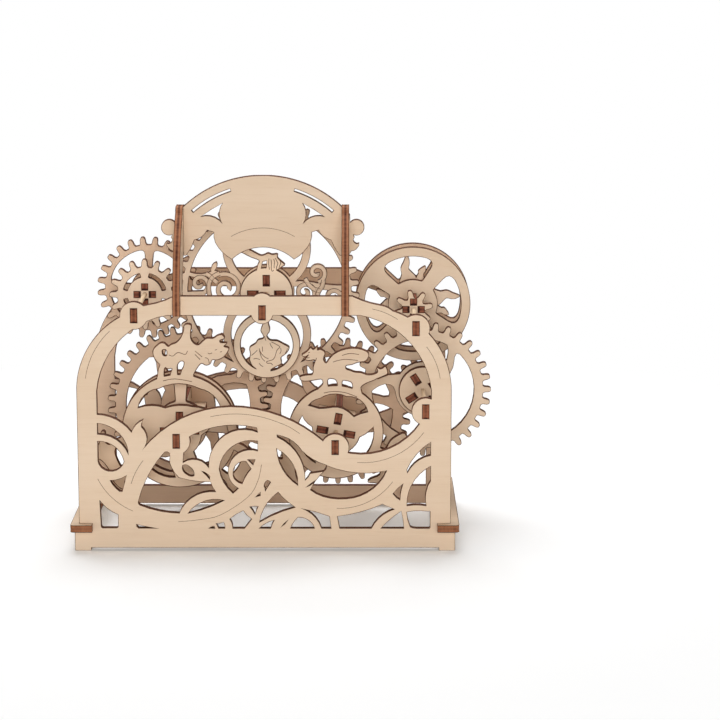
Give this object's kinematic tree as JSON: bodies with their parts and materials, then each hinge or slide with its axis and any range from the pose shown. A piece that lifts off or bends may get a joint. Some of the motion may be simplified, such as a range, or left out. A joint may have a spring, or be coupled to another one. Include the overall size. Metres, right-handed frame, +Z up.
{
  "type": "hand-driven puzzle theatre",
  "caption": "Plywood automaton: two fretwork panels hold spindles whose meshed gears turn wheels of animals and a dancer when the flywheel is turned.",
  "frame": {"origin": "middle of the base between the four feet, on the surface that it stands on", "axes": "+X along the stage towards the flywheel, +Y from the front panel to the rear one, +Z up"},
  "size_m": [0.1863, 0.092, 0.1623],
  "materials": {
    "birch_front": "matt",
    "birch_rear": "matt",
    "burnt_edge": "matt",
    "stick_wood": "matt"
  },
  "bodies": {
    "theatre": {"front_panel": "birch_front", "rear_panel": "birch_rear", "base_plate_left": "birch_front", "base_plate_right": "birch_front", "fin_left": "burnt_edge", "fin_right": "burnt_edge", "header_board": "birch_front", "front_bearings": "burnt_edge", "rear_bearings": "burnt_edge", "crank_stick": "stick_wood", "right_stick": "stick_wood", "dragon_stick": "stick_wood", "beast_stick": "stick_wood", "left_stick": "stick_wood", "centre_stick": "stick_wood"},
    "flywheel_set": {"flywheel_front": "birch_front", "flywheel_rear": "birch_rear", "sun_disc": "birch_rear", "crank_pinion": "birch_front", "crank_strips": "burnt_edge"},
    "right_set": {"right_gear": "birch_front", "moon_plate": "birch_front", "idle_pinion": "birch_rear", "right_strips": "burnt_edge"},
    "dragon_set": {"dragon_plate": "birch_front", "dragon_gear": "birch_rear", "dragon_strips": "burnt_edge"},
    "beast_set": {"beast_plate": "birch_front", "beast_ring": "birch_rear", "beast_gear": "birch_rear", "beast_strips": "burnt_edge"},
    "left_set": {"left_front_gear": "birch_front", "left_rear_gear": "birch_front", "left_strips": "burnt_edge"},
    "centre_set": {"figure_plate": "birch_front", "centre_gear": "birch_rear", "centre_strips": "burnt_edge"}
  },
  "joints": [
    {"name": "flywheel_spin", "type": "hinge", "parent": "theatre", "child": "flywheel_set", "pos_m": [0.0659, 0, 0.099], "axis": [0, 1, 0], "continuous": true},
    {"name": "right_spin", "type": "hinge", "parent": "theatre", "child": "right_set", "pos_m": [0.0703, 0, 0.06226], "axis": [0, 1, 0], "continuous": true},
    {"name": "dragon_spin", "type": "hinge", "parent": "theatre", "child": "dragon_set", "pos_m": [0.03086, 0, 0.0463], "axis": [0, 1, 0], "continuous": true},
    {"name": "beast_spin", "type": "hinge", "parent": "theatre", "child": "beast_set", "pos_m": [-0.03846, 0, 0.0491], "axis": [0, 1, 0], "continuous": true},
    {"name": "left_spin", "type": "hinge", "parent": "theatre", "child": "left_set", "pos_m": [-0.0561, 0, 0.10464], "axis": [0, 1, 0], "continuous": true},
    {"name": "centre_spin", "type": "hinge", "parent": "theatre", "child": "centre_set", "pos_m": [-0.00061, 0, 0.1059], "axis": [0, 1, 0], "continuous": true}
  ],
  "couplings": [
    {"joint": "right_spin", "follows": "flywheel_spin", "ratio": -0.25},
    {"joint": "dragon_spin", "follows": "flywheel_spin", "ratio": 0.069444},
    {"joint": "beast_spin", "follows": "flywheel_spin", "ratio": -0.064103},
    {"joint": "left_spin", "follows": "flywheel_spin", "ratio": 0.10417},
    {"joint": "centre_spin", "follows": "flywheel_spin", "ratio": -0.037879}
  ]
}
